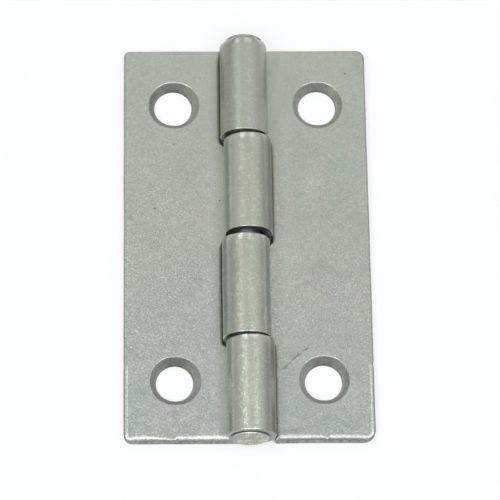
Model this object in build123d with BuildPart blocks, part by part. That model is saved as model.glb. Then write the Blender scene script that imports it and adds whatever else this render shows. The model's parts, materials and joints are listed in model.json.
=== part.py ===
"""A loose sheet-steel butt hinge, opened flat and lying on the backs of its leaves.

X runs across the leaves, Y along the pin and Z up from the backs. The origin is midway along
the hinge, on the plane of the backs, under the pin.
"""
import os
from math import asin, degrees, isclose

from build123d import *

# The two leaves, cut from one gauge of sheet
leaf_length = 50.8
open_width = 30.0
sheet = 1.1
left_corner_radius = 0.62
right_corner_radius = 1.08
inner_corner_radius = 0.5
front_edge_radius = 0.45
back_edge_break = 0.12

# Countersunk screw holes, two to a leaf
hole_spacing_across = 17.8
hole_pitch = 35.8
screw_hole_diameter = 4.6
countersink_diameter = 6.0
countersink_angle = 90

# The pin, headed over at both ends, and the slack that a loose hinge has on it
pin_diameter = 3.1
running_clearance = 0.06
side_play = 0.19
end_play = 0.12
head_clearance = 0.03
upper_head_diameter = 4.2
upper_face_diameter = 2.7
lower_head_diameter = 4.84
lower_face_diameter = 3.2
head_rim = 0.25
head_crown = 0.28

# The barrel: four knuckles in turn, parted by three cuts, the lower two a little below even quarters
upper_cut_gap = 0.32
middle_cut_gap = 0.7
lower_cut_gap = 0.2
middle_cut_drop = 0.22
lower_cut_drop = 0.62
notch_tuck = 0.04
notch_corner_radius = 0.5
seam_gap = 0.12

# Worked out from the sizes above. The notches' edges are tucked a little under the knuckles' widest part.
bore_radius = pin_diameter / 2 + running_clearance + side_play
barrel_radius = bore_radius + sheet
notch_edge = barrel_radius + side_play - notch_tuck
leaf_edge = open_width / 2
leaf_end = leaf_length / 2
upper_cut = leaf_length / 4
middle_cut = -middle_cut_drop
lower_cut = -leaf_length / 4 - lower_cut_drop
seam_angle = degrees(asin((bore_radius - seam_gap) / barrel_radius))

# Each knuckle's stretch of the pin, from its lower to its upper end
top_knuckle = (upper_cut + upper_cut_gap / 2, leaf_end)
second_knuckle = (middle_cut + middle_cut_gap / 2, upper_cut - upper_cut_gap / 2)
third_knuckle = (lower_cut + lower_cut_gap / 2, middle_cut - middle_cut_gap / 2)
bottom_knuckle = (-leaf_end, lower_cut - lower_cut_gap / 2)


def make_leaf(side, knuckles, corner_radius):
    """A leaf on the side +1 (right) or -1 (left) of the pin, with its knuckles rolled up and over.

    The sheet runs flat under the pin, turns up on the far side and comes back over the top, so its
    cut end hangs just above its own front face. The roll's centre lies past the pin by the side play.
    """
    plate_middle = side * (notch_edge + leaf_edge) / 2
    roll_centre = -side * side_play
    tongue_middle = (roll_centre + side * notch_edge) / 2
    roll_start = -seam_angle if side > 0 else 180 + seam_angle
    roll_sweep = side * (270 + seam_angle)
    knuckle_ends = [end for knuckle in knuckles for end in knuckle]

    with BuildPart() as leaf:
        with BuildSketch() as blank:
            with Locations((plate_middle, 0)):
                Rectangle(leaf_edge - notch_edge, leaf_length)
            fillet(blank.vertices().sort_by(Axis.X, reverse=side < 0)[-2:], corner_radius)
            fillet(blank.vertices().sort_by_distance((side * notch_edge, -side * leaf_end))[0], inner_corner_radius)
            for low, high in knuckles:
                with Locations((tongue_middle, (low + high) / 2)):
                    Rectangle(notch_edge + side_play, high - low)
            notch_corners = blank.vertices().filter_by(
                lambda corner: isclose(corner.X, side * notch_edge)
                and any(isclose(corner.Y, end) for end in knuckle_ends)
            )
            fillet(notch_corners, notch_corner_radius)
        extrude(amount=sheet)

        for low, high in knuckles:
            across_pin = Plane((roll_centre, (low + high) / 2, barrel_radius), x_dir=(1, 0, 0), z_dir=(0, -1, 0))
            with BuildSketch(across_pin):
                with BuildLine():
                    roll_outside = CenterArc((0, 0), barrel_radius, roll_start, roll_sweep)
                    roll_inside = CenterArc((0, 0), bore_radius, roll_start, roll_sweep)
                    Line(roll_outside @ 0, roll_inside @ 0)
                    Line(roll_outside @ 1, roll_inside @ 1)
                make_face()
            extrude(amount=(high - low) / 2, both=True)

        # The edge rounding runs on round the leaf and up the knuckles' ends
        outer_edge = leaf.edges().filter_by(Axis.Y).group_by(Axis.X)[-1 if side > 0 else 0].sort_by(Axis.Z)
        fillet(outer_edge[-1], front_edge_radius)
        outer_edge = leaf.edges().filter_by(Axis.Y).group_by(Axis.X)[-1 if side > 0 else 0].sort_by(Axis.Z)
        chamfer(outer_edge[0], back_edge_break)

        with Locations((side * hole_spacing_across / 2, 0, sheet)):
            with GridLocations(0, hole_pitch, 1, 2):
                CounterSinkHole(
                    screw_hole_diameter / 2, countersink_diameter / 2, counter_sink_angle=countersink_angle
                )
    return leaf


left_leaf = make_leaf(-1, [second_knuckle, bottom_knuckle], left_corner_radius)
right_leaf = make_leaf(+1, [top_knuckle, third_knuckle], right_corner_radius)

# The pin hangs in the barrel with its lower head close under the bottom knuckle, and the end play is left
# under its upper head, which is peened less
upper_seat = leaf_end + head_clearance + end_play
lower_seat = -leaf_end - head_clearance
upper_rim = upper_seat + head_rim
lower_rim = lower_seat - head_rim
shank_radius = pin_diameter / 2
upper_head_radius = upper_head_diameter / 2
upper_face_radius = upper_face_diameter / 2
lower_head_radius = lower_head_diameter / 2
lower_face_radius = lower_face_diameter / 2
pin_axis = Axis((0, 0, barrel_radius), (0, 1, 0))

with BuildPart() as hinge_pin:
    with BuildSketch(Plane.XY.offset(barrel_radius)):
        with BuildLine():
            Polyline(
                (0, upper_rim + head_crown),
                (upper_face_radius, upper_rim + head_crown),
                (upper_head_radius, upper_rim),
                (upper_head_radius, upper_seat),
                (shank_radius, upper_seat),
                (shank_radius, lower_seat),
                (lower_head_radius, lower_seat),
                (lower_head_radius, lower_rim),
                (lower_face_radius, lower_rim - head_crown),
                (0, lower_rim - head_crown),
                close=True,
            )
        make_face()
    revolve(axis=pin_axis)

os.makedirs("parts", exist_ok=True)
left_leaf.part.label = "left_leaf"
export_step(left_leaf.part, "parts/left_leaf.step")
right_leaf.part.label = "right_leaf"
export_step(right_leaf.part, "parts/right_leaf.step")
hinge_pin.part.label = "hinge_pin"
export_step(hinge_pin.part, "parts/hinge_pin.step")
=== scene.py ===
import json
import math

import bpy
import numpy as np
from mathutils import Matrix, Vector, noise
from mathutils.geometry import delaunay_2d_cdt


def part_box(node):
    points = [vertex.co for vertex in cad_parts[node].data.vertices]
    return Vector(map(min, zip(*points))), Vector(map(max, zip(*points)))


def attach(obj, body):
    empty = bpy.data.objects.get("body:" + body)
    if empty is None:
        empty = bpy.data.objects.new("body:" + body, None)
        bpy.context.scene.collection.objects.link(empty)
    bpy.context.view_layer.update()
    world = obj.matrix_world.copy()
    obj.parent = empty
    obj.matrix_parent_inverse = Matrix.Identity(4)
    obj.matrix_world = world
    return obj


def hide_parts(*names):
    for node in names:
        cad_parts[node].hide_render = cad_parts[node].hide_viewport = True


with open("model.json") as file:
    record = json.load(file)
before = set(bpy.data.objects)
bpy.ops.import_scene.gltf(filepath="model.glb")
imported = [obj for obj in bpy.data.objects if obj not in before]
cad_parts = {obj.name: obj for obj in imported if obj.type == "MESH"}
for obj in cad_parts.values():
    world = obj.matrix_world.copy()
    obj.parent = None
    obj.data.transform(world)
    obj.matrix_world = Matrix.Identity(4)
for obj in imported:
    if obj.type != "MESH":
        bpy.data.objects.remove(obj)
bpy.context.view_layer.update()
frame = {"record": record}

# Left leaf. A blank cropped from mild steel strip, punched with two countersunk holes, with its second
# and fourth tongues curled under and over the pin into knuckles, then zinc plated to a satin grey.
# The press rolls the front edges over and leaves the backs crisp.
MM = 0.001
sheet = 1.1 * MM
seam_gap = 0.12 * MM
notch_tuck = 0.04 * MM

leaf_low, leaf_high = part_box("left_leaf")
barrel_radius = leaf_high.z / 2
side_play = leaf_high.x - barrel_radius
leaf_edge = -leaf_low.x
leaf_end = leaf_high.y
notch_edge = leaf_high.x - notch_tuck

# The blank is laid out as (reach, y): reach counts from the pin towards the leaf's outer edge, and the
# tongues have a negative reach, which is the length that the curl takes up
curl_start = -side_play
curl_seam = math.asin((barrel_radius - sheet - seam_gap) / barrel_radius)
curl_turn = math.radians(270) + curl_seam
curl_mean_radius = barrel_radius - sheet / 2
tongue_tip = curl_start - curl_mean_radius * curl_turn

# The three cuts that part the barrel, the lower two a little below even quarters
middle_cut_drop = 0.22 * MM
lower_cut_drop = 0.62 * MM
upper_cut, middle_cut, lower_cut = leaf_end / 2, -middle_cut_drop, -leaf_end / 2 - lower_cut_drop
upper_gap, middle_gap, lower_gap = 0.32 * MM, 0.7 * MM, 0.2 * MM
second_knuckle = (middle_cut + middle_gap / 2, upper_cut - upper_gap / 2)
bottom_knuckle = (-leaf_end, lower_cut - lower_gap / 2)

inner_corner_radius = 0.12 * MM
tongue_corner_radius = 0.4 * MM


def blank_corners(knuckles, lower_radius, upper_radius, notch_radii):
    """The square corners of a leaf's blank, anticlockwise, each with its rounding, negative inside a notch.

    A notch's corner has the radius that is given for the nearest cut of the barrel.
    """

    def notch_radius(y):
        return notch_radii[min(notch_radii, key=lambda cut: abs(cut - y))]

    corners = [(leaf_edge, -leaf_end, lower_radius), (leaf_edge, leaf_end, upper_radius)]
    downwards = sorted(knuckles, reverse=True)
    if downwards[0][1] < leaf_end:
        corners.append((notch_edge, leaf_end, inner_corner_radius))
    for low, high in downwards:
        if high < leaf_end:
            corners.append((notch_edge, high, -notch_radius(high)))
        corners.append((tongue_tip, high, tongue_corner_radius))
        corners.append((tongue_tip, low, tongue_corner_radius))
        if low > -leaf_end:
            corners.append((notch_edge, low, -notch_radius(low)))
    if downwards[-1][0] > -leaf_end:
        corners.append((notch_edge, -leaf_end, inner_corner_radius))
    return corners


outline_step = 0.25 * MM
corner_arc_steps = 8
least_corner = 0.12 * MM
corner_pull = 1.2 * MM


def follow_outline(corners):
    """Points along the blank's outline, and how each goes into the sheet.

    A point goes straight in as far as it is free to. At a corner that sticks out it then goes on towards the
    corner's middle, and its neighbours are pulled along, so that the rings of an edge never cross.
    """
    points, inward, free, onward = [], [], [], []
    for i, (reach, y, rounding) in enumerate(corners):
        here, radius = Vector((reach, y)), abs(rounding)
        *after, next_rounding = corners[(i + 1) % len(corners)]
        arrive = (here - Vector(corners[i - 1][:2])).normalized()
        leave = (Vector(after) - here).normalized()
        centre = here - arrive * radius + leave * radius
        for k in range(corner_arc_steps + 1):
            angle = math.radians(90) * k / corner_arc_steps
            outward = arrive * math.sin(angle) - leave * math.cos(angle)
            points.append(centre + outward * radius)
            inward.append(-outward if rounding > 0 else outward)
            free.append(radius - least_corner if rounding > 0 else math.inf)
            onward.append(leave - arrive)
        run_start = here + leave * radius
        run_end = Vector(after) - leave * abs(next_rounding)
        length = (run_end - run_start).length
        steps = max(2, round(length / outline_step))
        into = Vector((-leave.y, leave.x))
        for k in range(1, steps):
            along = length * k / steps
            if 2 * k < steps:
                near, off, way = rounding, along, leave
            else:
                near, off, way = next_rounding, length - along, -leave
            points.append(run_start + leave * along)
            inward.append(into)
            free.append(near - least_corner if near > 0 else math.inf)
            onward.append(into + way * max(0, 1 - off / corner_pull))
    return np.array(points), np.array(inward), np.array(free), np.array(onward)


def ripple(points, length, seed):
    """Smooth noise from -1 to 1 at each point.

    Each use adds a number of its own to the leaf's seed, so that no two ripples run together.
    """
    return np.array([noise.noise(Vector((*(point / length), seed))) for point in points])


def around(values, reach):
    """Values along a closed outline, each averaged with its neighbours."""
    return sum(np.roll(values, shift, axis=0) for shift in range(-reach, reach + 1)) / (2 * reach + 1)


# How each edge is dressed, as (run across the face, drop down the edge, bow), with a bow of 1 for a straight
# slope and 2 for a round. On the front the press rolls the edges over, most at the lower end. On the back
# they are just broken, but the tongues' backs are the knuckles' outsides: there each upper end is worn to a
# long slope, most of all on the barrel's crown, and the barrel's foot is rounder than the other lower ends.
RUN, DROP = 0, 1
upper_end_front = (0.16 * MM, 0.16 * MM, 2)
lower_end_front = (0.85 * MM, 0.75 * MM, 2)
side_front = (0.28 * MM, 0.45 * MM, 2)
notch_front = (0.5 * MM, 0.17 * MM, 2)
tongue_front = (0.2 * MM, 0.2 * MM, 2)
plate_back = (0.1 * MM, 0.1 * MM, 2)
upper_back = (1.0 * MM, 0.22 * MM, 1.3)
lower_back = (0.08 * MM, 0.08 * MM, 2)
crown_back = (1.25 * MM, 0.36 * MM, 1.25)
foot_back = (0.18 * MM, 0.15 * MM, 2)

# How unevenly they are dressed, as (share of the run or the drop, length of a ripple)
front_run_sway, front_run_fret = (0.16, 2.2 * MM), (0.1, 0.7 * MM)
front_drop_sway = (0.08, 1.6 * MM)
back_run_fret, back_drop_fret = (0.35, 0.9 * MM), (0.45, 0.7 * MM)

edge_margin = 0.05 * MM
edge_blend = 3
lower_end_reach = 1.2 * MM
least_crest = 0.3
facing_share = 0.5


def dress_edges(points, inward, cusps, seed):
    """(run, drop, bow) of the front edge and of the back edge at each point of the outline.

    A cusp is a place on the lower end where the crop stepped, and the front face runs on nearly to the edge.
    """

    def uneven(share, length, step):
        return share * ripple(points, length, seed + step)

    reach, y = points.T
    on_tongue = reach < notch_edge - edge_margin
    on_upper_end = y > leaf_end - edge_margin
    on_lower_end = y < -leaf_end + edge_margin
    front = np.tile(notch_front, (len(points), 1))
    front[reach > leaf_edge - edge_margin] = side_front
    front[on_upper_end] = upper_end_front
    front[on_tongue] = tongue_front
    front[on_lower_end & (reach > lower_end_reach)] = lower_end_front
    back = np.tile(plate_back, (len(points), 1))
    back[on_tongue] = lower_back
    back[on_tongue & on_lower_end] = foot_back

    # The wear on the knuckles' upper ends fades towards their sides, but on the crown it keeps its drop
    upper = on_tongue & (inward[:, 1] < -facing_share)
    crest = np.clip(-np.cos((curl_start - reach) / curl_mean_radius), least_crest, 1)
    back[upper] = upper_back
    back[upper, DROP] *= crest[upper]
    back[upper & on_upper_end] = crown_back
    back[upper, RUN] *= crest[upper]

    front, back = around(front, edge_blend), around(back, edge_blend)
    front[:, RUN] *= 1 + uneven(*front_run_sway, 0) + uneven(*front_run_fret, 5)
    front[:, DROP] *= 1 + uneven(*front_drop_sway, 11)
    back[:, RUN] *= 1 + uneven(*back_run_fret, 29)
    back[:, DROP] *= 1 + uneven(*back_drop_fret, 53)
    for cusp, inner_limb, outer_limb, depth in cusps:
        off = reach - cusp
        slope = np.where(off < 0, -off / inner_limb, off / outer_limb)
        stepped = on_lower_end & (slope < 1)
        front[stepped, RUN] *= 1 - depth * (1 - slope[stepped])
    return front, back


def fall_away(inset, edge):
    """How far a dressed edge lies below its face at an inset from the outline."""
    run, drop, bow = edge.T
    out = np.clip(1 - inset / run, 0, 1)
    return drop * (1 - (1 - out**bow) ** (1 / bow))


def inside(points, loop):
    """Which points lie inside a closed loop."""
    crossings = np.zeros(len(points), dtype=bool)
    for (x0, y0), (x1, y1) in zip(loop, np.roll(loop, -1, axis=0)):
        if y0 != y1:
            spans = (points[:, 1] > min(y0, y1)) & (points[:, 1] <= max(y0, y1))
            crossings ^= spans & (points[:, 0] < x0 + (points[:, 1] - y0) * (x1 - x0) / (y1 - y0))
    return crossings


# The finishes of a leaf, in the order of its material slots
FLAT, CURLED, CROPPED, COUNTERSUNK = range(4)
weld_distance = 1e-9


class Sheet:
    """A leaf's sheet while it is worked: points laid out flat, with the heights of its front and back."""

    def __init__(self):
        self.points, self.front, self.back = np.empty((0, 2)), np.empty(0), np.empty(0)
        self.faces, self.finishes = [], []

    def ring(self, points, front, back):
        """Adds points and returns their numbers."""
        first = len(self.points)
        self.points = np.concatenate([self.points, points])
        self.front = np.append(self.front, np.broadcast_to(front, len(points)))
        self.back = np.append(self.back, np.broadcast_to(back, len(points)))
        return np.arange(first, len(self.points))

    def face(self, corners, finish=FLAT):
        """A face with its finish, but what lies past the pin has the curled one."""
        past_pin = np.mean([self.points[corner][0] for corner in corners]) < curl_start
        self.faces.append(corners)
        self.finishes.append(CURLED if past_pin else finish)

    def band(self, outer, inner, finish):
        """Faces between two closed rings of as many points."""
        for corners in zip(outer, np.roll(outer, -1), np.roll(inner, -1), inner):
            self.face(corners, finish)

    def fill(self, loops, grid):
        """Triangles between the outer loop, the hole loops and loose points of the middle."""
        numbers = np.concatenate([*loops, grid])
        edges, first = [], 0
        for loop in loops:
            edges += [(first + i, first + (i + 1) % len(loop)) for i in range(len(loop))]
            first += len(loop)
        flat = [Vector(self.points[number]) for number in numbers]
        spots, _, triangles, sources, _, _ = delaunay_2d_cdt(flat, edges, [], 0, weld_distance)
        triangles = np.array(triangles)
        middles = np.array(spots)[triangles].mean(axis=1)
        kept = inside(middles, self.points[loops[0]])
        for hole in loops[1:]:
            kept &= ~inside(middles, self.points[hole])
        for triangle in triangles[kept]:
            self.face(tuple(numbers[sources[corner][0]] for corner in triangle))


# Where the rings of a dressed edge lie, as shares of its width. The first few have the cut walls' finish.
edge_shares = (0, 0.01, 0.03, 0.07, 0.12, 0.18, 0.26, 0.34, 0.43, 0.53, 0.64, 0.76, 0.88, 1)
cropped_share = 0.15
least_wall = 0.04 * MM
settle_step = 0.03 * MM
grid_clear = 0.12 * MM
outline_waver, outline_ripple = 0.035 * MM, 5.3 * MM
nick_y, nick_depth, nick_reach = -15.8 * MM, 0.06 * MM, 0.22 * MM
burr, burr_reach = 0.14 * MM, 0.9 * MM


def crop_outline(work, corners, cusps, seed):
    """The blank's dressed edge, ring by ring from the cut wall in to the flat, with a nick and a burr in it.

    Gives the rings, the way into the sheet at each of their points, and a loop that is clear of the edge.
    """
    outline, inward, free, onward = follow_outline(corners)
    front_edge, back_edge = dress_edges(outline, inward, cusps, seed)
    widths = np.maximum(front_edge[:, RUN], back_edge[:, RUN])
    reach, y = outline.T
    waver = outline_waver * (1 + ripple(outline, outline_ripple, seed + 17))
    on_side = reach > leaf_edge - edge_margin
    waver += nick_depth * np.where(on_side, np.exp(-((y - nick_y) / nick_reach) ** 2), 0)
    in_notch = (np.abs(reach - notch_edge) < edge_margin) & (inward[:, 0] > facing_share)
    waver -= burr * np.where(in_notch, np.exp(-((y - leaf_end) / burr_reach) ** 2), 0)

    def set_in(distance):
        """The outline, with each of its points that far into the sheet."""
        straight, past = np.minimum(distance, free), np.clip(distance - free, 0, None)
        return outline + inward * (waver + straight)[:, None] + onward * past[:, None]

    rings = []
    for share in edge_shares:
        inset = widths * share
        rise = fall_away(inset, back_edge)
        height = np.maximum(sheet - fall_away(inset, front_edge), rise + least_wall)
        rings.append(work.ring(set_in(inset), height, rise))
    rings.append(work.ring(set_in(widths + settle_step), sheet, 0))
    for share, outer, inner in zip(edge_shares, rings, rings[1:]):
        work.band(outer, inner, CROPPED if share < cropped_share else FLAT)
    return rings, inward, set_in(widths + settle_step + grid_clear)


hole_points = 96
hole_turn = -np.linspace(0, 2 * math.pi, hole_points, endpoint=False)
spokes = np.column_stack([np.cos(hole_turn), np.sin(hole_turn)])
countersink_width = 0.7 * MM
countersink_slope = 1.0
cone_rows = 7
rim_round = 0.1 * MM
rim_turns = np.radians([30, 15, 0])
rim_tangent = math.tan(math.radians(22.5))
rim_waver, rim_ripple = 0.03 * MM, 0.35 * MM
hole_back_break = 0.06 * MM

# How worn a rim is, as shares of its full rounding: all round, more on its shiny side, and in patches
wear_all_round, wear_to_side, wear_in_patches, least_wear = 0.3, 0.45, 1.1, 0.08
wear_ripple = 0.5 * MM


def strike_hole(work, centre, hole_radius, rim_drift, rim_shine, seed):
    """A 90 degree countersink, in rings from its through hole up to the worn rim.

    The punch and the cutter don't quite line up, so the rim has drifted to one side of the hole.
    """
    countersink_radius = hole_radius + countersink_width
    edge = centre + spokes * countersink_radius
    drift = np.clip(spokes * rim_drift, 0, None).sum(axis=1)
    drift += rim_waver * ripple(edge, rim_ripple, seed + 37)
    worn = wear_all_round + wear_to_side * spokes @ rim_shine
    worn += wear_in_patches * ripple(edge, wear_ripple, seed + 43)
    worn = rim_round * np.clip(worn, least_wear, 1)
    cone = np.linspace(hole_radius + settle_step, countersink_radius - rim_round, cone_rows)
    steps = [(radius, sheet - (countersink_radius - radius) * countersink_slope) for radius in cone]
    for turn in rim_turns:
        radius = countersink_radius + worn * (rim_tangent - math.sin(turn))
        steps.append((radius, sheet - worn * (1 - math.cos(turn))))
    steps.append((countersink_radius + rim_round + settle_step, sheet))
    rings = [work.ring(centre + spokes * hole_radius, hole_back_break + least_wall, hole_back_break)]
    for radius, height in steps:
        rings.append(work.ring(centre + spokes * (radius + drift)[:, None], height, 0))
    for step, (outer, inner) in enumerate(zip(rings, rings[1:])):
        work.band(outer, inner, COUNTERSUNK if step < cone_rows else FLAT)
    return rings


face_grid = 0.6 * MM
curl_grid = 0.24 * MM


def fill_middle(work, edge_loop, hole_loops, clear_of_edge, holes, rim_drift):
    """The flat of the sheet, on a grid that is finer where it will be curled."""
    lines_across = np.concatenate([
        np.arange(tongue_tip, notch_edge, curl_grid), np.arange(notch_edge, leaf_edge, face_grid)
    ])
    lines_along = np.arange(-leaf_end, leaf_end, face_grid)
    grid = np.stack(np.meshgrid(lines_across, lines_along), axis=-1).reshape(-1, 2)
    kept = inside(grid, clear_of_edge)
    for centre, hole_radius in holes:
        rim = hole_radius + countersink_width + np.abs(rim_drift).sum() + rim_round
        kept &= np.hypot(*(grid - centre).T) > rim + grid_clear
    work.fill([edge_loop, *hole_loops], work.ring(grid[kept], sheet, 0))


wall_rows = 4
face_waver, face_ripple = 0.006 * MM, 6.5 * MM
tear_depth, tear_ripple = 0.016 * MM, 0.5 * MM


def give_thickness(work, cut_edges, seed):
    """The sheet's front, its back and the torn walls between them.

    Gives the points as (reach, y, height), the faces and their finishes.
    """
    plan, back = work.points, work.back
    waver = face_waver * ripple(plan, face_ripple, seed + 23)
    front = work.front + np.where(work.front > sheet / 2, waver, 0)
    count = len(plan)
    layers = [np.column_stack([plan, front]), np.column_stack([plan, back])]
    faces = work.faces + [tuple(corner + count for corner in reversed(face)) for face in work.faces]
    finishes = work.finishes + [CURLED if finish == CURLED else FLAT for finish in work.finishes]
    total = 2 * count
    for edge, into, finish in cut_edges:
        rows = [edge]
        for row in range(1, wall_rows):
            share = row / wall_rows
            tear = tear_depth * (1 + ripple(plan[edge] + row * MM, tear_ripple, seed + 31))
            torn = plan[edge] + into * tear[:, None]
            layers.append(np.column_stack([torn, front[edge] * (1 - share) + back[edge] * share]))
            rows.append(np.arange(total, total + len(edge)))
            total += len(edge)
        rows.append(edge + count)
        for upper, lower in zip(rows, rows[1:]):
            faces += zip(np.roll(upper, -1), upper, lower, np.roll(lower, -1))
            finishes += [finish] * len(edge)
    return np.concatenate(layers), faces, finishes


def curl_over(blank, side):
    """Where the blank's points go: what lies past the pin turns up on the far side and comes back over it."""
    reach, y, height = blank.T
    curl = np.clip(curl_start - reach, 0, None) / curl_mean_radius
    radius = barrel_radius - height
    x = np.where(curl > 0, curl_start - radius * np.sin(curl), reach)
    z = np.where(curl > 0, barrel_radius - radius * np.cos(curl), height)
    return np.column_stack([side * x, y, z])


def put_in_scene(name, data):
    """A new object made of a mesh, a lamp or a camera."""
    made = bpy.data.objects.new(name, data)
    bpy.context.collection.objects.link(made)
    return made


rub_and_highlight_reach = 1.5 * MM


def press_leaf(name, side, knuckles, corner_radii, notch_radii, holes, rim_drift, rim_shine, cusps, seed):
    """A leaf on the side +1 (right) or -1 (left) of the pin: cropped, punched, rolled over and curled."""
    work = Sheet()
    corners = blank_corners(knuckles, *corner_radii, notch_radii)
    edge_rings, inward, clear_of_edge = crop_outline(work, corners, cusps, seed)
    hole_rings = [strike_hole(work, *hole, rim_drift, rim_shine, seed) for hole in holes]
    hole_loops = [rings[-1] for rings in hole_rings]
    fill_middle(work, edge_rings[-1], hole_loops, clear_of_edge, holes, rim_drift)
    cut_edges = [(edge_rings[0], inward, CROPPED)]
    cut_edges += [(rings[0], spokes, COUNTERSUNK) for rings in hole_rings]
    blank, faces, finishes = give_thickness(work, cut_edges, seed)

    # The left leaf is the mirror image, so its faces run the other way round
    faces = [tuple(int(corner) for corner in face[::side]) for face in faces]
    mesh = bpy.data.meshes.new(name)
    mesh.from_pydata(curl_over(blank, side).tolist(), [], faces)
    for finish in leaf_finishes:
        mesh.materials.append(finish)
    mesh.polygons.foreach_set("material_index", finishes)
    mesh.attributes.new("blank", "FLOAT_VECTOR", "POINT").data.foreach_set("vector", blank.ravel())
    y = blank[:, 1]
    # The upper part of each knuckle, for its rubbing wear and its painted highlight
    rub_and_highlight = np.zeros(len(y))
    for low, high in knuckles:
        rub_and_highlight += np.where((y > low) & (y <= high), np.clip(1 - (high - y) / rub_and_highlight_reach, 0, 1), 0)
    mesh.attributes.new("rub_and_highlight", "FLOAT", "POINT").data.foreach_set("value", rub_and_highlight)
    mesh.shade_smooth()
    mesh.update()
    return put_in_scene(name, mesh)


def material(name):
    """A fresh material, with its nodes' tree and its shader."""
    made = bpy.data.materials.new(name)
    made.use_nodes = True
    return made, made.node_tree, made.node_tree.nodes["Principled BSDF"]


def add(tree, kind, inputs=None, **settings):
    """A node with its settings, and its sockets linked or set."""
    node = tree.nodes.new(kind)
    for setting, value in settings.items():
        setattr(node, setting, value)
    for socket, value in (inputs or {}).items():
        if isinstance(value, bpy.types.NodeSocket):
            tree.links.new(value, node.inputs[socket])
        else:
            node.inputs[socket].default_value = value
    return node


def on_piece(tree):
    """Where a point lies in the hinge's own frame."""
    return add(tree, "ShaderNodeTexCoord").outputs["Object"]


def axes(tree, vector):
    """The x, y and z of a vector."""
    return add(tree, "ShaderNodeSeparateXYZ", {0: vector}).outputs


def stretched(tree, vector, scale):
    """A vector scaled on each axis, so that a grain on it is drawn out where the scale is small."""
    return add(tree, "ShaderNodeMapping", {"Vector": vector, "Scale": scale}).outputs["Vector"]


def grain(tree, vector, size, detail, rough):
    """Noise whose features are about that size, in metres."""
    made = add(tree, "ShaderNodeTexNoise", {
        "Vector": vector, "Scale": 1 / size, "Detail": detail, "Roughness": rough
    })
    return made.outputs["Fac"]


def spread(tree, value, low, high, to_low, to_high):
    """A value moved from one range to another, and held inside it."""
    made = add(tree, "ShaderNodeMapRange", {
        "Value": value, "From Min": low, "From Max": high, "To Min": to_low, "To Max": to_high
    })
    return made.outputs["Result"]


def product(tree, first, second):
    """Two values multiplied."""
    return add(tree, "ShaderNodeMath", {0: first, 1: second}, operation="MULTIPLY").outputs[0]


def away(tree, value, place):
    """How far a value is from a place, to either side."""
    off = add(tree, "ShaderNodeMath", {0: value, 1: place}, operation="SUBTRACT").outputs[0]
    return add(tree, "ShaderNodeMath", {0: off}, operation="ABSOLUTE").outputs[0]


# The numbers of a mix node's sockets for colours
mix_first, mix_second, mix_result = 6, 7, 2


def blended(tree, share, first, second):
    """Two colours mixed."""
    made = add(tree, "ShaderNodeMix", {"Factor": share}, data_type="RGBA")
    for socket, colour in ((made.inputs[mix_first], first), (made.inputs[mix_second], second)):
        if isinstance(colour, bpy.types.NodeSocket):
            tree.links.new(colour, socket)
        else:
            socket.default_value = (*colour, 1)
    return made.outputs[mix_result]


def flakes(tree, vector, size, tilt):
    """The plating's crystals: a random value from 0 to 1 for each, and the normal that its tilt gives."""
    cell = add(tree, "ShaderNodeTexVoronoi", {"Vector": vector, "Scale": 1 / size}).outputs["Color"]
    tip = add(tree, "ShaderNodeVectorMath", {0: cell, 1: (0.5, 0.5, 0.5)}, operation="SUBTRACT").outputs[0]
    tip = add(tree, "ShaderNodeVectorMath", {0: tip, "Scale": tilt}, operation="SCALE").outputs[0]
    upright = add(tree, "ShaderNodeNewGeometry").outputs["Normal"]
    normal = add(tree, "ShaderNodeVectorMath", {0: upright, 1: tip}, operation="ADD").outputs[0]
    normal = add(tree, "ShaderNodeVectorMath", {0: normal}, operation="NORMALIZE").outputs[0]
    return axes(tree, cell)["X"], normal


def roughened(tree, height, strength, depth, normal=None):
    """The normal of a surface with that height on it, up to that depth."""
    inputs = {"Strength": strength, "Distance": depth, "Height": height}
    if normal:
        inputs["Normal"] = normal
    return add(tree, "ShaderNodeBump", inputs).outputs["Normal"]


def plate(tree, shader, colour, rough, normal):
    """Makes a shader into plated metal."""
    shader.inputs["Metallic"].default_value = 1.0
    for socket, value in (("Base Color", colour), ("Roughness", rough), ("Normal", normal)):
        tree.links.new(value, shader.inputs[socket])


mark_onset = 0.12


def mark(tree, place, start, end, width, edge, solid):
    """A mark on the leaves' fronts from one (x, y) to another, in mm, with a ragged edge.

    It fades in from its outline to its middle, and it is full where that fade passes solid.
    """
    (x0, y0), (x1, y1) = start, end
    length = math.hypot(x1 - x0, y1 - y0) + width
    spot = add(tree, "ShaderNodeMapping", {
        "Vector": place,
        "Location": ((x0 + x1) / 2 * MM, (y0 + y1) / 2 * MM, sheet),
        "Rotation": (0, 0, math.atan2(y1 - y0, x1 - x0)),
        "Scale": (length / 2 * MM, width / 2 * MM, sheet / 2),
    }, vector_type="TEXTURE").outputs["Vector"]
    fade = add(tree, "ShaderNodeTexGradient", {"Vector": spot}, gradient_type="SPHERICAL").outputs["Fac"]
    return spread(tree, product(tree, fade, edge), mark_onset, solid, 0, 1)


# The flat faces' colours, among them those of a painted sparkle, a painted light, a painted shade and painted
# highlights
zinc_upper, zinc_lower = (0.408, 0.446, 0.388), (0.306, 0.324, 0.308)
warm_tint = (0.428, 0.432, 0.396)
dull_cloud = (0.32, 0.35, 0.32)
dull_speckle = (0.3, 0.32, 0.285)
crystal_glint = (0.68, 0.71, 0.67)
barrel_side_lift = (0.6, 0.63, 0.58)
lower_edge_shade = (0.1, 0.105, 0.1)
shine = (0.85, 0.87, 0.83)
grime = (0.13, 0.135, 0.11)
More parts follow.
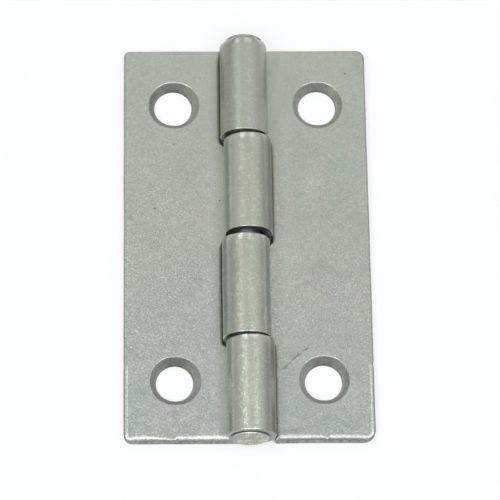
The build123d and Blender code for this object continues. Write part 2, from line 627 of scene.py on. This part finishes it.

# Their marks of use and their painted glints, as (start, end, width, depth), with the places and widths in mm
leaf_marks = [
    ((6.41, -14.2), (7.41, -13.68), 0.26, 0.85), ((4.9, -15.65), (6.3, -14.1), 0.34, 0.65),
    ((5.8, -15.0), (6.4, -14.25), 0.24, 0.6), ((3.9, -16.55), (5.0, -15.55), 0.5, 0.5),
    ((-11.4, 4.37), (-10.8, 4.22), 0.3, 0.9), ((-3.3, 5.3), (-3.2, 5.3), 0.36, 0.85),
    ((12.5, 22.23), (12.5, 22.23), 0.36, 0.85), ((-8.8, 12.8), (-8.8, 12.8), 0.36, 0.5),
    ((13.4, 18.65), (14.0, 18.65), 0.3, 0.35), ((-14.55, 22.83), (-14.5, 22.7), 0.45, 0.4),
]
painted_glints = [
    ((-13.82, 24.19), (-13.8, 24.19), 0.36, 0.3), ((8.4, -22.1), (8.55, -22.0), 0.32, 0.4),
]
leaf_smudges = [
    ((7.6, -3.6), (10.2, -3.5), 3.8, 0.24), ((-8.65, -22.2), (-8.9, -21.7), 1.6, 0.34),
    ((4.7, -14.8), (5.4, -14.4), 1.8, 0.36), ((4.2, -24.1), (6.4, -24.1), 1.3, 0.55),
    ((-14.2, 3.4), (-14.2, 3.0), 1.0, 0.4), ((-8.5, -12.3), (-8.6, -13.4), 1.8, 0.26),
    ((3.92, 24.1), (4.02, 23.5), 1.8, 0.26), ((14.17, 23.22), (14.17, 22.92), 1.1, 0.26),
    ((3.67, 15.87), (3.67, 15.67), 1.0, 0.24),
]
rubbed_patches = [((8.8, 10.6), (7.6, 5.0), 4.4, 0.13), ((6.1, -10.9), (6.7, -9.4), 3.4, 0.13)]
sharp, soft = 0.32, 0.8
wear_and_glints = [
    (rubbed_patches, shine, soft), (leaf_smudges, grime, soft),
    (leaf_marks, grime, sharp), (painted_glints, shine, sharp),
]
highlight_line_reach = 14.55 * MM
highlight_line_half_width = 0.14 * MM
highlight_line_fade = 0.4 * MM


def satin_zinc():
    """The flat faces: a fine crystalline plating, painted to sparkle towards the lower end, with its marks of
    use.
    """
    made, tree, shader = material("satin_zinc")
    place = on_piece(tree)
    x, y, _ = axes(tree, place)
    off_pin = away(tree, x, 0)
    lower = spread(tree, y, leaf_end, -leaf_end, 0, 1)
    cloud = grain(tree, place, 7 * MM, 4, 0.6)
    tint = grain(tree, place, 2.4 * MM, 2, 0.5)
    speckle = grain(tree, place, 0.3 * MM, 2, 0.6)
    # Where the crystals tilt more and their painted sparkle is stronger: towards the lower end, and less to
    # the right
    clear = product(tree, spread(tree, lower, 0.05, 0.6, 0.35, 1), spread(tree, x, -3 * MM, 6 * MM, 1, 0.65))
    fleck, normal = flakes(tree, place, 0.12 * MM, spread(tree, clear, 0, 1, 0.03, 0.12))
    body = blended(tree, lower, zinc_upper, zinc_lower)
    body = blended(tree, spread(tree, tint, 0.35, 0.65, 0, 0.5), body, warm_tint)
    body = blended(tree, spread(tree, cloud, 0.3, 0.6, 0.45, 0), body, dull_cloud)
    body = blended(tree, spread(tree, speckle, 0.35, 0.7, 0.3, 0), body, dull_speckle)
    # A painted sparkle: some crystals are painted lighter
    bright = product(tree, spread(tree, fleck, 0.55, 1, 0, 0.42), clear)
    body = blended(tree, bright, body, crystal_glint)
    # Painted light: the face next to the barrel is lifted lighter, where the knuckles shade it
    body = blended(tree, spread(tree, off_pin, 2.6 * MM, 6 * MM, 0.16, 0), body, barrel_side_lift)

    # A painted shade dims the right leaf's lower edge, and a painted highlight runs down the outer edges
    # below the nick
    edge_shade = spread(tree, y, 0.4 * MM - leaf_end, MM - leaf_end, 0.24, 0)
    edge_shade = product(tree, edge_shade, spread(tree, x, 0, MM, 0, 1))
    body = blended(tree, edge_shade, body, lower_edge_shade)
    ragged = spread(tree, speckle, 0.3, 0.7, 0.2, 1)
    # Marks of use and rubbed patches in their colours, and painted glints in the shine colour
    for marks, colour, solid in wear_and_glints:
        for start, end, width, depth in marks:
            worn = product(tree, mark(tree, place, start, end, width, ragged, solid), depth)
            body = blended(tree, worn, body, colour)
    # A painted highlight along the outer edges, below the nick
    highlight_line = spread(tree, away(tree, off_pin, highlight_line_reach), 0, highlight_line_half_width, 0.9, 0)
    highlight_line = product(tree, highlight_line, spread(tree, y, nick_y - highlight_line_fade, nick_y, 1, 0))
    body = blended(tree, product(tree, highlight_line, ragged), body, shine)
    plate(tree, shader, body, spread(tree, speckle, 0.3, 0.7, 0.36, 0.44), normal)
    return made


# The knuckles' colours. Some flanks get a painted light and others a painted shade, each by a share.
curl_dark, curl_light = (0.395, 0.422, 0.362), (0.45, 0.476, 0.412)
curl_speck = (0.29, 0.31, 0.26)
curl_crystal_glint = (0.66, 0.69, 0.61)
top_knuckle_shade, bottom_knuckle_light = (0.27, 0.285, 0.25), (0.66, 0.68, 0.6)
flank_light, flank_shade = (0.72, 0.745, 0.68), (0.2, 0.21, 0.185)
rubbed_end_highlight = (0.66, 0.68, 0.63)
knuckle_flank_shading = [
    ((leaf_end, upper_cut), "right", flank_light, 0.24),
    ((upper_cut, middle_cut), "right", flank_shade, 0.22),
    ((upper_cut, middle_cut), "left", flank_light, 0.36),
    ((lower_cut, -leaf_end), "right", flank_shade, 0.42),
    ((lower_cut, -leaf_end), "left", flank_light, 0.2),
]
flank_fade = 0.1 * MM
left_flank, left_flank_half_width = -1.5 * MM, 0.8 * MM


def curled_zinc():
    """The knuckles: drawn smooth along the curl, so they shine more, with the plating's crystals breaking it.

    The top one has a painted shade, the bottom one a painted light, their worn upper ends a painted
    highlight.
    """
    made, tree, shader = material("curled_zinc")
    blank = add(tree, "ShaderNodeAttribute", attribute_name="blank").outputs["Vector"]
    along = stretched(tree, blank, (1, 0.3, 1))
    lower = spread(tree, axes(tree, blank)["Y"], leaf_end, -leaf_end, 0, 1)
    cloud = grain(tree, along, 1.6 * MM, 3, 0.6)
    speck = grain(tree, blank, 0.22 * MM, 2, 0.6)
    fleck, normal = flakes(tree, blank, 0.17 * MM, spread(tree, lower, 0, 0.9, 0.03, 0.08))
    body = blended(tree, spread(tree, cloud, 0.3, 0.7, 0, 1), curl_dark, curl_light)
    body = blended(tree, spread(tree, speck, 0.3, 0.5, 0.22, 0), body, curl_speck)
    # A painted sparkle: some crystals are painted lighter, most on the bottom knuckle
    bright = product(tree, spread(tree, fleck, 0.75, 1, 0, 0.45), spread(tree, lower, 0.7, 0.85, 1, 1.25))
    body = blended(tree, bright, body, curl_crystal_glint)
    # Painted shade on the top knuckle and painted light on the bottom one
    body = blended(tree, spread(tree, lower, 0.2, 0.3, 0.4, 0), body, top_knuckle_shade)
    body = blended(tree, spread(tree, lower, 0.72, 0.8, 0, 0.12), body, bottom_knuckle_light)
    x, y, _ = axes(tree, on_piece(tree))
    flanks = {
        "right": spread(tree, x, 0.5 * MM, 2.2 * MM, 0, 1),
        "left": spread(tree, away(tree, x, left_flank), 0, left_flank_half_width, 1, 0),
    }
    # The flanks' painted light and painted shade, knuckle by knuckle
    for (high, low), flank, tone, share in knuckle_flank_shading:
        here = spread(tree, y, low, low + flank_fade, 0, share)
        here = product(tree, here, spread(tree, y, high - flank_fade, high, 1, 0))
        body = blended(tree, product(tree, here, flanks[flank]), body, tone)
    # The knuckles' upper ends: rubbing wear, lighter and smoother, with a painted highlight
    rub_and_highlight = add(tree, "ShaderNodeAttribute", attribute_name="rub_and_highlight").outputs["Fac"]
    rub_and_highlight = add(tree, "ShaderNodeMath", {0: rub_and_highlight, 1: 1.6}, operation="POWER").outputs[0]
    rub_and_highlight = product(tree, rub_and_highlight, spread(tree, grain(tree, along, 0.5 * MM, 2, 0.6), 0.3, 0.65, 0.3, 1))
    body = blended(tree, rub_and_highlight, body, rubbed_end_highlight)
    rough = spread(tree, lower, 0.2, 0.3, 0.4, 0.3)
    rough = product(tree, rough, spread(tree, rub_and_highlight, 0, 1, 1, 0.85))
    rough = product(tree, rough, spread(tree, lower, 0.004, 0.03, 0.62, 1))
    draw_marks = grain(tree, along, 0.6 * MM, 3, 0.6)
    plate(tree, shader, body, rough, roughened(tree, draw_marks, 0.8, 0.04 * MM, normal))
    return made


# The cut walls' colours
torn_dark, torn_light = (0.22, 0.235, 0.23), (0.46, 0.485, 0.465)
shaded_end, open_end = (0.1, 0.105, 0.105), (0.5, 0.517, 0.5)
end_shade = (0.12, 0.126, 0.124)


def cropped_zinc():
    """The cut walls: torn steel under a thin plating, rougher and duller than the faces.

    The knuckles' ends have a painted shade in the wide middle cut and on their flanks.
    """
    made, tree, shader = material("cropped_zinc")
    place = on_piece(tree)
    torn = grain(tree, stretched(tree, place, (1, 1, 0.3)), 0.4 * MM, 4, 0.65)
    body = blended(tree, spread(tree, torn, 0.35, 0.65, 0, 1), torn_dark, torn_light)
    x, y, _ = axes(tree, place)
    off_pin = away(tree, x, 0)
    off_middle = away(tree, y, middle_cut)
    knuckle_ends = blended(tree, spread(tree, off_middle, MM, 3 * MM, 0, 1), shaded_end, open_end)
    body = blended(tree, spread(tree, off_pin, 2.7 * MM, 3 * MM, 0.65, 0), body, knuckle_ends)
    # Painted shade on the knuckles' ends towards their flanks, less at the foot
    end_shading = spread(tree, off_pin, 1.3 * MM, 2.1 * MM, 0, 0.7)
    end_shading = product(tree, end_shading, spread(tree, off_pin, 3 * MM, 3.2 * MM, 1, 0))
    end_shading = product(tree, end_shading, spread(tree, y, MM - leaf_end, 2 * MM - leaf_end, 0.3, 1))
    body = blended(tree, end_shading, body, end_shade)
    rough = spread(tree, torn, 0.3, 0.7, 0.42, 0.6)
    plate(tree, shader, body, rough, roughened(tree, torn, 0.6, 0.04 * MM))
    return made


# The countersinks' colours
sunk_dark, sunk_light = (0.166, 0.179, 0.158), (0.252, 0.269, 0.241)
cutter_ring = (0.3, 0.318, 0.283)
right_sunk = (0.45, 0.48, 0.43)
painted_side_light = (0.55, 0.58, 0.52)
painted_side_lights = [(-0.7, 0.46), (0.7, 0.28)]


def countersunk_zinc():
    """The countersinks: turned by the cutter, so they are ringed, and duller than the faces.

    The right leaf's are a little lighter, and all get a painted light on the sides that face across the leaf.
    """
    made, tree, shader = material("countersunk_zinc")
    place = on_piece(tree)
    ringed = grain(tree, stretched(tree, place, (0.2, 0.2, 1)), 0.12 * MM, 2, 0.5)
    spot = grain(tree, place, 0.5 * MM, 3, 0.6)
    body = blended(tree, spread(tree, spot, 0.3, 0.7, 0, 1), sunk_dark, sunk_light)
    body = blended(tree, spread(tree, ringed, 0.35, 0.65, 0, 0.3), body, cutter_ring)
    body = blended(tree, spread(tree, axes(tree, place)["X"], -MM, MM, 0, 0.14), body, right_sunk)
    across = axes(tree, add(tree, "ShaderNodeTexCoord").outputs["Normal"])["X"]
    # Painted light on the sides that face across the leaf, more on those facing left than on those facing
    # right
    for full, share in painted_side_lights:
        body = blended(tree, spread(tree, across, full * 0.3, full, 0, share), body, painted_side_light)
    rough = spread(tree, spot, 0.3, 0.7, 0.32, 0.42)
    plate(tree, shader, body, rough, roughened(tree, ringed, 0.5, 0.02 * MM))
    return made


punch_wear = 0.08 * MM


def screw_holes(mount_name, side):
    """The leaf's screw holes as (centre on the blank, radius), from the record's mount.

    The lower one came from a more worn punch, so it is a little tighter.
    """
    mount = next(mount for mount in frame["record"]["mounts"] if mount["name"] == mount_name)
    half_pitch = mount["dims"]["spacing_y_mm"] * MM / 2
    radius = mount["dims"]["hole_r_mm"] * MM
    reach = side * mount["pos_m"][0]
    return [(np.array((reach, -half_pitch)), radius - punch_wear), (np.array((reach, half_pitch)), radius)]


leaf_finishes = [satin_zinc(), curled_zinc(), cropped_zinc(), countersunk_zinc()]

# Corner radii are (lower, upper). A cusp is (reach, its limb towards the pin, its outer limb, depth).
left_corner_radii = 1.1 * MM, 0.7 * MM
left_notch_radii = {upper_cut: 0.75 * MM, middle_cut: 0.8 * MM, lower_cut: 0.55 * MM}
left_rim_drift = np.array((-0.26, 0.24)) * MM
left_rim_shine = np.array((0.6, 0.8))
left_cusps = [(8.97 * MM, 0.5 * MM, 2.8 * MM, 0.64)]
left_leaf = press_leaf(
    "left_leaf_plated", -1, [second_knuckle, bottom_knuckle], left_corner_radii, left_notch_radii,
    screw_holes("left_screw_holes", -1), left_rim_drift, left_rim_shine, left_cusps, seed=3,
)
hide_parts("left_leaf")
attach(left_leaf, "left_leaf")

# Right leaf. The same strip, cropped and curled on the same tools, with its first and third tongues
# making the knuckles that drop into the left leaf's notches. Its outer corners are rounder.
top_knuckle = (upper_cut + upper_gap / 2, leaf_end)
third_knuckle = (lower_cut + lower_gap / 2, middle_cut - middle_gap / 2)
right_corner_radii = 1.5 * MM, 1.08 * MM
right_notch_radii = {upper_cut: 0.2 * MM, middle_cut: 0.8 * MM, lower_cut: 0.2 * MM}
right_rim_drift = np.array((0.16, 0.24)) * MM
right_rim_shine = np.array((-0.6, 0.8))
right_cusps = [(9.19 * MM, 0.7 * MM, 0.45 * MM, 0.6)]
right_leaf = press_leaf(
    "right_leaf_plated", +1, [top_knuckle, third_knuckle], right_corner_radii, right_notch_radii,
    screw_holes("right_screw_holes", +1), right_rim_drift, right_rim_shine, right_cusps, seed=41,
)
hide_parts("right_leaf")
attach(right_leaf, "right_leaf")

# Hinge pin. Drawn steel wire cropped to length, pushed through the four knuckles and peened over at both
# ends, so that its heads are swollen and rounded and still show the marks of the crop.
pin_low, pin_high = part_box("hinge_pin")
shank_radius = 1.55 * MM
lower_head_radius = 2.3 * MM
upper_head_radius = 2.35 * MM
head_clearance = 0.03 * MM
head_end_play = 0.08 * MM
lower_seat = -leaf_end - head_clearance
upper_seat = leaf_end + head_clearance + head_end_play
upper_head_drift = -0.12 * MM
head_seat_share = 0.975
head_rim_share = 0.08
head_fullness = 0.6
pin_facets = 120
head_steps = 10


def head_profile(seat, tip, head_radius):
    """(radius, y) from the shank, out under the head and over its rounded rim to its crown."""
    height = tip - seat
    profile = [(shank_radius, seat), (head_radius * head_seat_share, seat)]
    for k in range(head_steps + 1):
        angle = math.radians(90) * k / head_steps
        rise = head_rim_share + (1 - head_rim_share) * math.sin(angle)
        profile.append((head_radius * math.cos(angle) ** head_fullness, seat + height * rise))
    return profile


def peened_pin():
    """The pin with both its heads, turned about its axis, the upper head a little to one side."""
    lower = head_profile(lower_seat, pin_low.y, lower_head_radius)
    upper = head_profile(upper_seat, pin_high.y, upper_head_radius)
    profile = lower[::-1] + upper
    places, faces = [], []
    for radius, y in profile[1:-1]:
        middle = upper_head_drift if radius > shank_radius and y > 0 else 0
        for k in range(pin_facets):
            angle = 2 * math.pi * k / pin_facets
            places.append((middle + radius * math.cos(angle), y, barrel_radius + radius * math.sin(angle)))
    last_ring = (len(profile) - 3) * pin_facets
    for here in range(0, last_ring, pin_facets):
        there = here + pin_facets
        for k in range(pin_facets):
            after = (k + 1) % pin_facets
            faces.append((here + k, there + k, there + after, here + after))
    for end, first in ((0, 0), (-1, last_ring)):
        places.append((upper_head_drift if end else 0, profile[end][1], barrel_radius))
        for k in range(pin_facets):
            rim = (first + k, first + (k + 1) % pin_facets)
            faces.append((len(places) - 1, *(rim if end == 0 else rim[::-1])))
    mesh = bpy.data.meshes.new("hinge_pin_plated")
    mesh.from_pydata(places, [], faces)
    mesh.shade_smooth()
    mesh.update()
    return put_in_scene("hinge_pin_plated", mesh)


# The pin's colours
head_dark, head_light = (0.45, 0.467, 0.411), (0.73, 0.745, 0.665)
shear_line = (0.3, 0.31, 0.27)
shank_shade, upper_head_shade = (0.2, 0.207, 0.196), (0.34, 0.355, 0.325)
head_fade = 0.1 * MM


def peened_zinc():
    """The pin: plated wire with a painted shade but for its lower head, bright with the crop's lines down it.
    """
    made, tree, shader = material("peened_zinc")
    place = on_piece(tree)
    lines = grain(tree, stretched(tree, place, (1, 1, 0.15)), 0.18 * MM, 3, 0.6)
    cloud = grain(tree, place, 1.2 * MM, 3, 0.6)
    body = blended(tree, spread(tree, cloud, 0.4, 0.6, 0, 1), head_dark, head_light)
    body = blended(tree, spread(tree, lines, 0.35, 0.55, 0.7, 0), body, shear_line)
    y = axes(tree, place)["Y"]
    # Painted shade on the shank and the upper head; only the lower head keeps the bright colours
    pin_shade = blended(tree, spread(tree, y, leaf_end - head_fade, leaf_end, 0, 1), shank_shade, upper_head_shade)
    body = blended(tree, spread(tree, y, -leaf_end, -leaf_end + head_fade, 1, 0), pin_shade, body)
    rough = spread(tree, cloud, 0.3, 0.7, 0.44, 0.58)
    plate(tree, shader, body, rough, roughened(tree, lines, 0.6, 0.04 * MM))
    return made


hinge_pin = peened_pin()
hinge_pin.data.materials.append(peened_zinc())
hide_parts("hinge_pin")
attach(hinge_pin, "left_leaf")

# Floor. A plain white sweep that the hinge lies on; it shows white to the camera and in the metal, apart
# from the hinge's soft shadow, partly cast and partly painted where the paper's glow fades under the hinge.
floor_half = 3.0
floor_drop = 0.02 * MM
cover_reach = 6 * MM
lift_to_white = 0.71
lift_in_metal = 0.57
paper_dark, paper_light = (0.17, 0.17, 0.17), (0.18, 0.18, 0.18)


def white_paper():
    """Pale paper that a little light of its own lifts to white, apart from where the hinge covers it."""
    made, tree, shader = material("white_paper")
    tree.nodes.remove(shader)
    out = tree.nodes["Material Output"]
    colour = blended(tree, grain(tree, on_piece(tree), 2 * MM, 2, 0.5), paper_dark, paper_light)
    paper = add(tree, "ShaderNodeBsdfDiffuse", {"Color": colour}).outputs[0]
    open_sky = add(tree, "ShaderNodeAmbientOcclusion", {"Distance": cover_reach}).outputs["AO"]
    path = add(tree, "ShaderNodeLightPath").outputs
    seen = product(tree, path["Is Camera Ray"], lift_to_white)
    mirrored = product(tree, path["Is Glossy Ray"], lift_in_metal)
    lift = add(tree, "ShaderNodeMath", {0: seen, 1: mirrored}, operation="MAXIMUM").outputs[0]
    # Painted shadow: the glow fades where the hinge covers the paper
    lift = product(tree, lift, spread(tree, open_sky, 0.12, 0.45, 0, 1))
    glow = add(tree, "ShaderNodeEmission", {"Color": (1, 1, 1, 1), "Strength": lift}).outputs[0]
    both = add(tree, "ShaderNodeAddShader", {0: paper, 1: glow}).outputs[0]
    tree.links.new(both, out.inputs["Surface"])
    return made


floor_corners = [(-1, -1), (1, -1), (1, 1), (-1, 1)]
floor_mesh = bpy.data.meshes.new("floor")
floor_mesh.from_pydata(
    [(x * floor_half, y * floor_half, -floor_drop) for x, y in floor_corners], [], [(0, 1, 2, 3)]
)
floor_mesh.materials.append(white_paper())
floor = put_in_scene("floor", floor_mesh)

# Light. A pale room that is brightest overhead. Two long strips beside the pin draw the streaks down the
# knuckles, a wide lamp at the near end lights the rolled lower edges, two small lamps at the far end light
# the knuckles' upper ends, and a weak one fills in from the right.
sky_overhead = 0.86
sky_level = 0.48
sky_seen = 1.0
sky_colour = (1.0, 1.0, 0.965, 1)
lamp_colour = (0.93, 0.97, 1.04)

# Each lamp's name, place, width across the pin, length along it and power, in metres and watts
lamps = [
    ("left_strip", (-0.33, -0.16, 0.6), 0.16, 0.5, 2.0),
    ("right_strip", (0.26, -0.16, 0.6), 0.14, 0.5, 1.4),
    ("near_lamp", (0, -0.3, 0.52), 0.6, 0.2, 1.3),
    ("left_far_lamp", (-0.2, 0.433, 0.364), 0.14, 0.26, 0.19),
    ("right_far_lamp", (0.157, 0.443, 0.373), 0.14, 0.26, 0.11),
    ("right_fill", (0.6, 0.285, 0.44), 0.5, 0.7, 0.22),
]


def pale_room():
    """The world: a smooth sky from its level brightness up to its overhead one, and white to the camera."""
    world = bpy.data.worlds.new("pale_room")
    world.use_nodes = True
    tree = world.node_tree
    seen = add(tree, "ShaderNodeLightPath").outputs["Is Camera Ray"]
    up = axes(tree, add(tree, "ShaderNodeTexCoord").outputs["Generated"])["Z"]
    glow = spread(tree, up, 0, 1, sky_level, sky_overhead)
    strength = add(tree, "ShaderNodeMix", {"Factor": seen, 2: glow, 3: sky_seen}).outputs[0]
    tree.links.new(strength, tree.nodes["Background"].inputs["Strength"])
    tree.nodes["Background"].inputs["Color"].default_value = sky_colour
    return world


def soft_lamp(name, place, width, length, power):
    """A soft lamp that faces the hinge, its length running the pin's way."""
    lamp = bpy.data.lights.new(name, "AREA")
    lamp.shape = "RECTANGLE"
    lamp.size, lamp.size_y = width, length
    lamp.energy = power
    lamp.color = lamp_colour
    panel = put_in_scene(name, lamp)
    panel.location = place
    x, y, z = Vector(place).normalized()
    panel.rotation_euler = (-math.asin(y), math.atan2(x, z), 0)


bpy.context.scene.world = pale_room()
for lamp in lamps:
    soft_lamp(*lamp)

# Camera. It stands at the near end of the pin and looks down on the front of the leaves, with the turn, the
# distance and the focal length that a fit to the photograph's outlines gives.
camera_tilt, camera_yaw, camera_roll = math.radians(20.888), math.radians(1.685), math.radians(0.289)
camera_aim = (0.393 * MM, -0.704 * MM)
camera_distance = 342.13 * MM
nearest_seen = 10 * MM
film_width = 36
photo_width = 500
focal_length_in_pixels = 2809.5

camera_data = bpy.data.cameras.new("camera")
camera_data.sensor_width = film_width
camera_data.lens = film_width * focal_length_in_pixels / photo_width
camera_data.clip_start = nearest_seen
camera = put_in_scene("camera", camera_data)
turn_to_camera = (
    Matrix.Rotation(camera_roll, 3, "Z")
    @ Matrix.Rotation(camera_yaw, 3, "Y")
    @ Matrix.Rotation(-camera_tilt, 3, "X")
)
camera_turn = turn_to_camera.transposed()
camera_place = camera_turn @ Vector((*camera_aim, camera_distance))
camera.matrix_world = Matrix.Translation(camera_place) @ camera_turn.to_4x4()
bpy.context.scene.camera = camera
bpy.context.scene.view_settings.view_transform = "Standard"
